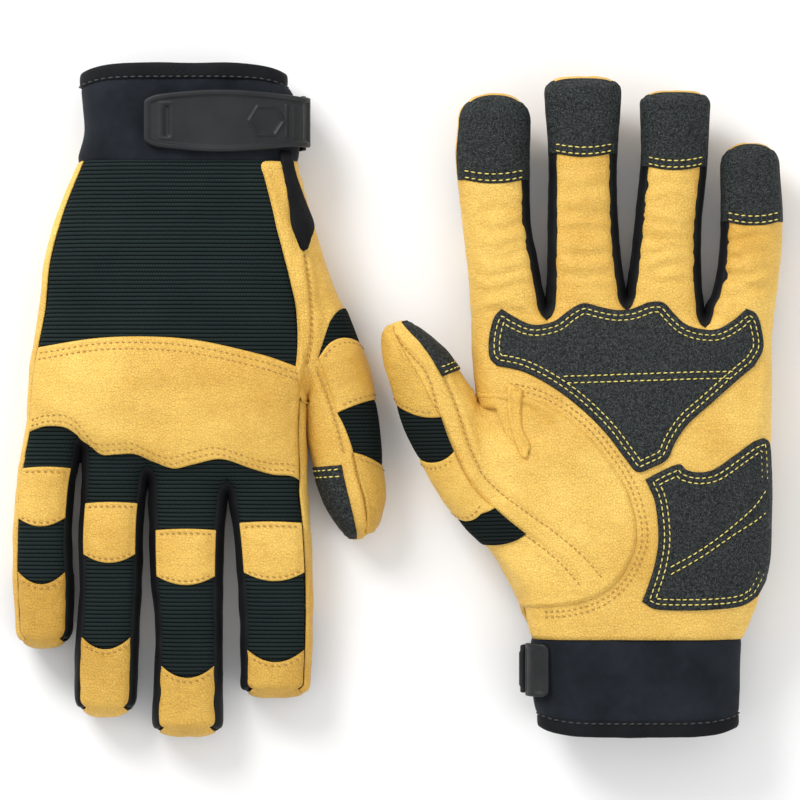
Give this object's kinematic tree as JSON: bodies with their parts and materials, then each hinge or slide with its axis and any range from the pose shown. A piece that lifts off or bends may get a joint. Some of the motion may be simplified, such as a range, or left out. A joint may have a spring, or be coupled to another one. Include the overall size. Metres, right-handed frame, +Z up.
{
  "type": "work gloves",
  "caption": "Pair of work gloves in tan leather and black stretch knit, with grip patches, knuckle pads and hook-and-loop cuff tabs.",
  "frame": {"origin": "bottom centre of the pair's bounding box, on the floor", "axes": "+X across both gloves, from the right glove to the left one; +Y towards the left glove's fingertips; +Z up"},
  "size_m": [0.2968, 0.259, 0.0369],
  "materials": {
    "leather": "soft grain",
    "grip_fabric": "speckled, matt",
    "knit": "ribbed, matt",
    "neoprene": "brushed, matt",
    "rubber": "satin",
    "tape": "matt",
    "hook": "matt"
  },
  "bodies": {
    "right_glove": {"right_palm_leather": "leather", "right_back_knit": "knit", "right_knuckle_band": "leather", "right_palm_grip_patch": "grip_fabric", "right_heel_grip_patch": "grip_fabric", "right_thumb_leather": "leather", "right_thumb_back_knit": "knit", "right_thumb_tip_leather": "leather", "right_thumb_grip_cap": "grip_fabric", "right_cuff": "neoprene", "right_cuff_binding": "tape", "right_tab_anchor": "rubber", "right_wrist_gusset": "tape", "right_index_middle_fourchette": "knit", "right_middle_ring_fourchette": "knit", "right_ring_little_fourchette": "knit", "right_index_knuckle_patch": "leather", "right_index_tip_leather": "leather", "right_index_grip_cap": "grip_fabric", "right_middle_knuckle_patch": "leather", "right_middle_tip_leather": "leather", "right_middle_grip_cap": "grip_fabric", "right_ring_knuckle_patch": "leather", "right_ring_tip_leather": "leather", "right_ring_grip_cap": "grip_fabric", "right_little_knuckle_patch": "leather", "right_little_tip_leather": "leather", "right_little_grip_cap": "grip_fabric"},
    "right_tab": {"right_closure_tab": "rubber", "right_hook_patch": "hook"},
    "left_glove": {"left_palm_leather": "leather", "left_back_knit": "knit", "left_knuckle_band": "leather", "left_palm_grip_patch": "grip_fabric", "left_heel_grip_patch": "grip_fabric", "left_thumb_leather": "leather", "left_thumb_back_knit": "knit", "left_thumb_tip_leather": "leather", "left_thumb_grip_cap": "grip_fabric", "left_cuff": "neoprene", "left_cuff_binding": "tape", "left_tab_anchor": "rubber", "left_wrist_gusset": "tape", "left_index_middle_fourchette": "knit", "left_middle_ring_fourchette": "knit", "left_ring_little_fourchette": "knit", "left_index_knuckle_patch": "leather", "left_index_tip_leather": "leather", "left_index_grip_cap": "grip_fabric", "left_middle_knuckle_patch": "leather", "left_middle_tip_leather": "leather", "left_middle_grip_cap": "grip_fabric", "left_ring_knuckle_patch": "leather", "left_ring_tip_leather": "leather", "left_ring_grip_cap": "grip_fabric", "left_little_knuckle_patch": "leather", "left_little_tip_leather": "leather", "left_little_grip_cap": "grip_fabric"},
    "left_tab": {"left_closure_tab": "rubber", "left_hook_patch": "hook"}
  },
  "joints": [
    {"name": "right_tab_hinge", "type": "hinge", "parent": "right_glove", "child": "right_tab", "pos_m": [-0.0336, 0.10671, 0.01855], "axis": [0, 1, 0], "range_deg": [0, 150]},
    {"name": "left_glove_lift", "type": "slide", "parent": "right_glove", "child": "left_glove", "axis": [0, 0, 1], "range_m": [0, 0.12]},
    {"name": "left_tab_hinge", "type": "hinge", "parent": "left_glove", "child": "left_tab", "pos_m": [0.047, -0.10279, 0.01655], "axis": [0, 1, 0], "range_deg": [0, 170]}
  ]
}
